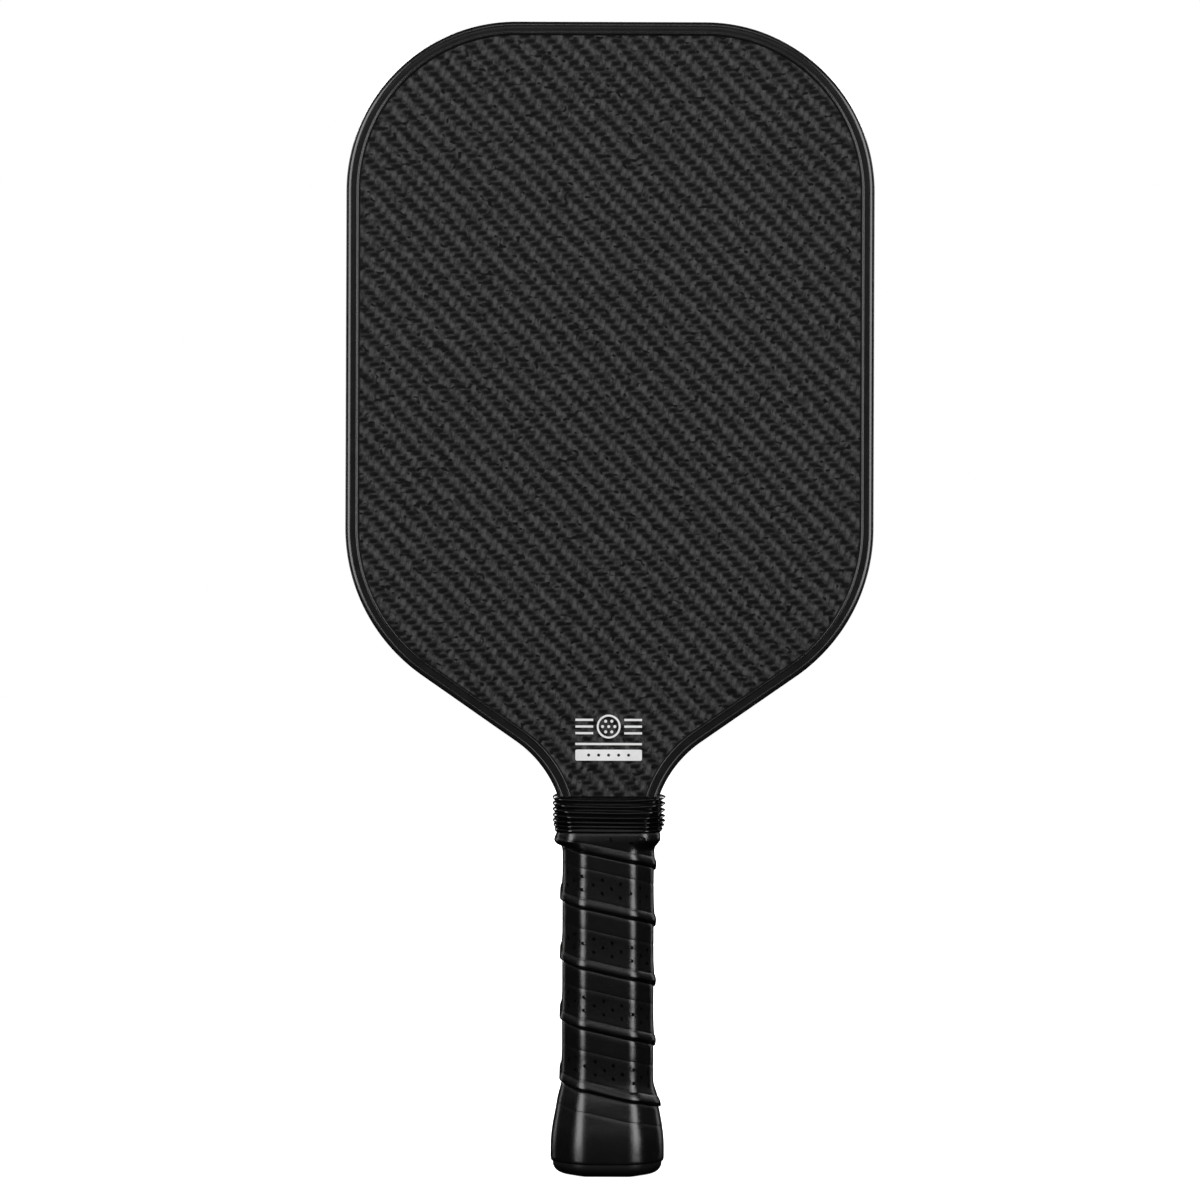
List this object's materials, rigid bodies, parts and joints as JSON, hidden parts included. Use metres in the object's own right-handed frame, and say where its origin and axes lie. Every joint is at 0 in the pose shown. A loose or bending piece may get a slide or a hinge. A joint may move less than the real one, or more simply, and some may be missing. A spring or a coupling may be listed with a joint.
{
  "type": "pickleball paddle",
  "caption": "Elongated pickleball paddle: woven carbon faces on a honeycomb core, plastic edge guard, ribbed rubber collar and spiral-wrapped octagonal grip.",
  "frame": {"origin": "middle of the butt's flat end, at the bottom of the paddle", "axes": "+Z along the handle to the top of the head, X across the face, the front face looks along -Y"},
  "size_m": [0.1906, 0.0368, 0.416],
  "materials": {
    "core_polypropylene": "translucent moulded polypropylene",
    "core_fleece": "thin white fused fleece",
    "carbon_twill": "2x2 twill carbon laminate under a satin resin coat",
    "guard_plastic": "satin black moulded plastic",
    "bond_tape": "double-sided foam tape",
    "handle_foam": "rigid moulded foam",
    "cap_plastic": "satin black moulded plastic",
    "staple_steel": "bright drawn wire",
    "grip_leather": "soft-gloss black synthetic leather, perforated",
    "finishing_tape": "matt black vinyl tape",
    "collar_rubber": "satin black rubber",
    "mark_ink": "white screen print"
  },
  "bodies": {
    "root": {"honeycomb_core": "core_polypropylene", "front_core_veil": "core_fleece", "back_core_veil": "core_fleece", "front_face_skin": "carbon_twill", "back_face_skin": "carbon_twill", "edge_guard": "guard_plastic", "edge_guard_tape": "bond_tape", "front_handle_shell": "handle_foam", "back_handle_shell": "handle_foam", "butt_cap": "cap_plastic", "butt_cap_staples": "staple_steel", "cushion_grip": "grip_leather", "grip_finishing_tape": "finishing_tape", "grip_collar": "collar_rubber", "face_mark": "mark_ink"}
  },
  "joints": []
}
